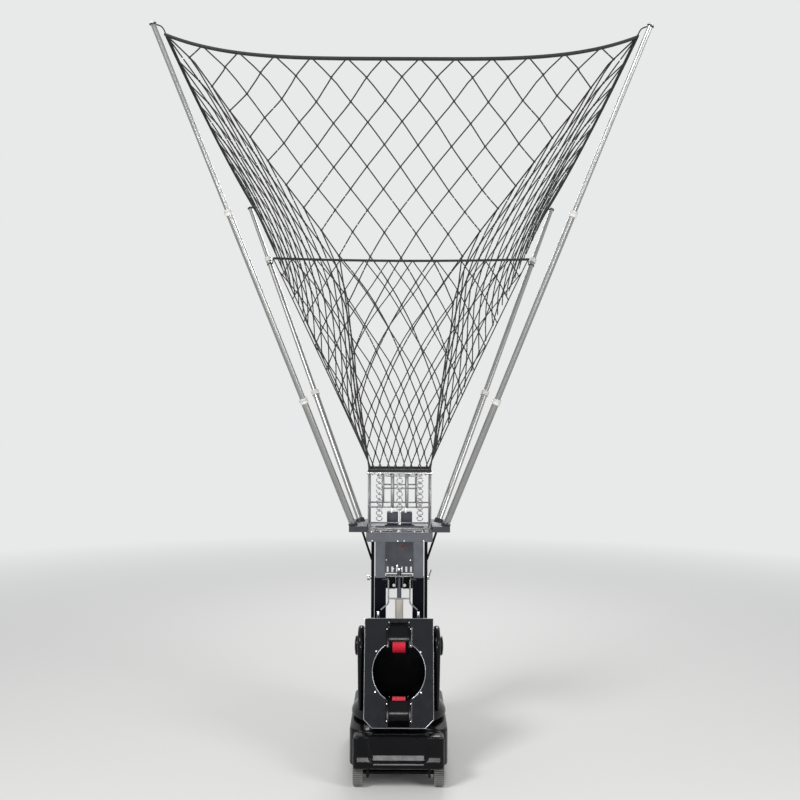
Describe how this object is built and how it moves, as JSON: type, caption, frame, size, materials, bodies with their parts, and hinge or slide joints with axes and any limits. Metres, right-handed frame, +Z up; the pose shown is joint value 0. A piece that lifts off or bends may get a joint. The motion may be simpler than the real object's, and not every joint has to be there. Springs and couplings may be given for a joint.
{
  "type": "basketball shooting machine",
  "caption": "Wheeled ball launcher with a tilting head, a lifting tower and a tall funnel net held out on telescoping poles.",
  "frame": {"origin": "on the floor, under the middle of the ball cage and on the head's swivel axis", "axes": "+Z up, -Y the way the ball is launched, +X to the right in the front view"},
  "size_m": [2.2752, 1.6252, 3.6244],
  "materials": {
    "powder_black": "fine-textured black powder coat",
    "powder_grey": "dark grey powder coat on aluminium",
    "gloss_black": "moulded, glossy",
    "tube_grey": "satin grey paint",
    "tube_dark": "satin dark paint",
    "silver": "clear anodised tube with painted collars",
    "zinc": "zinc plated",
    "cream": "cream enamel",
    "red_rubber": "moulded red rubber tyre on a plastic hub",
    "grey_rubber": "grey ribbed rubber",
    "net_cord": "knotted dark cord",
    "red_plastic": "glossy red",
    "black_plastic": "matt black"
  },
  "bodies": {
    "base": {"chassis": "powder_black", "base_shell": "gloss_black", "front_bumper": "gloss_black", "front_axle": "powder_black", "tower_outer_left": "tube_dark", "tower_outer_right": "tube_dark", "actuator_tube": "cream", "ball_rails": "powder_grey", "tower_bridge": "black_plastic", "rear_cabinet": "powder_black", "push_handle": "tube_dark", "mains_inlet": "black_plastic"},
    "front_wheel_left": {"front_wheel_left": "grey_rubber"},
    "front_wheel_right": {"front_wheel_right": "grey_rubber"},
    "caster_fork_left": {"caster_fork_left": "zinc"},
    "caster_fork_right": {"caster_fork_right": "zinc"},
    "caster_wheel_left": {"caster_wheel_left": "grey_rubber"},
    "caster_wheel_right": {"caster_wheel_right": "grey_rubber"},
    "power_switch": {"power_switch": "red_plastic"},
    "stop_button": {"stop_button": "red_plastic"},
    "speed_dial": {"speed_dial": "black_plastic"},
    "yoke": {"turntable": "black_plastic", "yoke_arm_left": "gloss_black", "yoke_arm_right": "gloss_black"},
    "head": {"face_plate": "powder_black", "head_housing": "black_plastic", "wheel_hood_top": "gloss_black", "wheel_hood_bottom": "gloss_black", "launch_motor_top": "tube_dark", "launch_motor_bottom": "tube_dark"},
    "launch_wheel_top": {"launch_wheel_top": "red_rubber"},
    "launch_wheel_bottom": {"launch_wheel_bottom": "red_rubber"},
    "carriage": {"tower_inner_left": "tube_grey", "tower_inner_right": "tube_grey", "actuator_rod": "tube_grey", "platform_frame": "powder_grey", "platform_plate_left": "powder_grey", "platform_plate_right": "powder_grey", "centre_panel": "powder_grey", "side_guard_left": "powder_grey", "side_guard_right": "powder_grey", "ball_cage": "zinc", "brake_chains": "zinc", "gate_drive": "powder_grey", "catch_net": "net_cord", "front_pole_left_lower": "silver", "rear_pole_left_lower": "silver", "front_pole_right_lower": "silver", "rear_pole_right_lower": "silver"},
    "lock_knob": {"lock_knob": "zinc"},
    "lock_lever": {"lock_lever": "zinc"},
    "ball_gate": {"ball_gate": "zinc"},
    "front_pole_left_middle": {"front_pole_left_middle": "silver"},
    "front_pole_left_tip": {"front_pole_left_tip": "silver"},
    "rear_pole_left_middle": {"rear_pole_left_middle": "silver"},
    "rear_pole_left_tip": {"rear_pole_left_tip": "silver"},
    "front_pole_right_middle": {"front_pole_right_middle": "silver"},
    "front_pole_right_tip": {"front_pole_right_tip": "silver"},
    "rear_pole_right_middle": {"rear_pole_right_middle": "silver"},
    "rear_pole_right_tip": {"rear_pole_right_tip": "silver"}
  },
  "joints": [
    {"name": "front_wheel_left_spin", "type": "hinge", "parent": "base", "child": "front_wheel_left", "pos_m": [-0.2016, -0.343, 0.065], "axis": [1, 0, 0], "continuous": true},
    {"name": "front_wheel_right_spin", "type": "hinge", "parent": "base", "child": "front_wheel_right", "pos_m": [0.2016, -0.343, 0.065], "axis": [1, 0, 0], "continuous": true},
    {"name": "caster_left_swivel", "type": "hinge", "parent": "base", "child": "caster_fork_left", "pos_m": [-0.185, 0.385, 0.0997], "axis": [0, 0, 1], "continuous": true},
    {"name": "caster_left_spin", "type": "hinge", "parent": "caster_fork_left", "child": "caster_wheel_left", "pos_m": [-0.185, 0.405, 0.036], "axis": [1, 0, 0], "continuous": true},
    {"name": "caster_right_swivel", "type": "hinge", "parent": "base", "child": "caster_fork_right", "pos_m": [0.185, 0.385, 0.0997], "axis": [0, 0, 1], "continuous": true},
    {"name": "caster_right_spin", "type": "hinge", "parent": "caster_fork_right", "child": "caster_wheel_right", "pos_m": [0.185, 0.405, 0.036], "axis": [1, 0, 0], "continuous": true},
    {"name": "power_switch_rock", "type": "hinge", "parent": "base", "child": "power_switch", "pos_m": [-0.09, 0.4683, 0.43], "axis": [1, 0, 0], "range_deg": [-7, 7]},
    {"name": "stop_button_press", "type": "slide", "parent": "base", "child": "stop_button", "axis": [0, -1, 0], "range_m": [0, 0.005], "stiffness_N_per_m": 600},
    {"name": "speed_dial_turn", "type": "hinge", "parent": "base", "child": "speed_dial", "pos_m": [0, 0.478, 0.43], "axis": [0, 1, 0], "range_deg": [-135, 135]},
    {"name": "head_swivel", "type": "hinge", "parent": "base", "child": "yoke", "pos_m": [0, 0, 0.245], "axis": [0, 0, 1], "range_deg": [-90, 90]},
    {"name": "head_tilt", "type": "hinge", "parent": "yoke", "child": "head", "pos_m": [0, -0.13, 0.643], "axis": [-1, 0, 0], "range_deg": [0, 20]},
    {"name": "launch_wheel_top_spin", "type": "hinge", "parent": "head", "child": "launch_wheel_top", "pos_m": [0, -0.17812, 0.69523], "axis": [1, 0, 0], "continuous": true},
    {"name": "launch_wheel_bottom_spin", "type": "hinge", "parent": "head", "child": "launch_wheel_bottom", "pos_m": [0, -0.27285, 0.3417], "axis": [1, 0, 0], "continuous": true},
    {"name": "tower_lift", "type": "slide", "parent": "base", "child": "carriage", "axis": [0, 0, 1], "range_m": [-0.16, 0]},
    {"name": "lock_knob_turn", "type": "hinge", "parent": "carriage", "child": "lock_knob", "pos_m": [-0.1588, 0.277, 0.923], "axis": [1, 0, 0], "range_deg": [-180, 180]},
    {"name": "lock_lever_turn", "type": "hinge", "parent": "carriage", "child": "lock_lever", "pos_m": [0.1588, 0.277, 0.923], "axis": [1, 0, 0], "range_deg": [0, 90]},
    {"name": "ball_gate_drop", "type": "hinge", "parent": "carriage", "child": "ball_gate", "pos_m": [0, 0.119, 1.212], "axis": [1, 0, 0], "range_deg": [0, 80]},
    {"name": "front_pole_left_middle_slide", "type": "slide", "parent": "carriage", "child": "front_pole_left_middle", "axis": [-0.338, -0.2704, 0.9014], "range_m": [-0.58, 0], "deforming": ["catch_net"]},
    {"name": "front_pole_left_tip_slide", "type": "slide", "parent": "front_pole_left_middle", "child": "front_pole_left_tip", "axis": [-0.338, -0.2704, 0.9014], "range_m": [-0.86, 0]},
    {"name": "rear_pole_left_middle_slide", "type": "slide", "parent": "carriage", "child": "rear_pole_left_middle", "axis": [-0.3427, 0.3324, 0.8787], "range_m": [-0.58, 0]},
    {"name": "rear_pole_left_tip_slide", "type": "slide", "parent": "rear_pole_left_middle", "child": "rear_pole_left_tip", "axis": [-0.3427, 0.3324, 0.8787], "range_m": [-0.36, 0]},
    {"name": "front_pole_right_middle_slide", "type": "slide", "parent": "carriage", "child": "front_pole_right_middle", "axis": [0.338, -0.2704, 0.9014], "range_m": [-0.58, 0]},
    {"name": "front_pole_right_tip_slide", "type": "slide", "parent": "front_pole_right_middle", "child": "front_pole_right_tip", "axis": [0.338, -0.2704, 0.9014], "range_m": [-0.86, 0]},
    {"name": "rear_pole_right_middle_slide", "type": "slide", "parent": "carriage", "child": "rear_pole_right_middle", "axis": [0.3427, 0.3324, 0.8787], "range_m": [-0.58, 0]},
    {"name": "rear_pole_right_tip_slide", "type": "slide", "parent": "rear_pole_right_middle", "child": "rear_pole_right_tip", "axis": [0.3427, 0.3324, 0.8787], "range_m": [-0.36, 0]}
  ],
  "couplings": [
    {"joint": "front_pole_left_tip_slide", "follows": "front_pole_left_middle_slide", "ratio": 1.48},
    {"joint": "rear_pole_left_middle_slide", "follows": "front_pole_left_middle_slide", "ratio": 1},
    {"joint": "rear_pole_left_tip_slide", "follows": "front_pole_left_middle_slide", "ratio": 0.62},
    {"joint": "front_pole_right_middle_slide", "follows": "front_pole_left_middle_slide", "ratio": 1},
    {"joint": "front_pole_right_tip_slide", "follows": "front_pole_left_middle_slide", "ratio": 1.48},
    {"joint": "rear_pole_right_middle_slide", "follows": "front_pole_left_middle_slide", "ratio": 1},
    {"joint": "rear_pole_right_tip_slide", "follows": "front_pole_left_middle_slide", "ratio": 0.62}
  ]
}
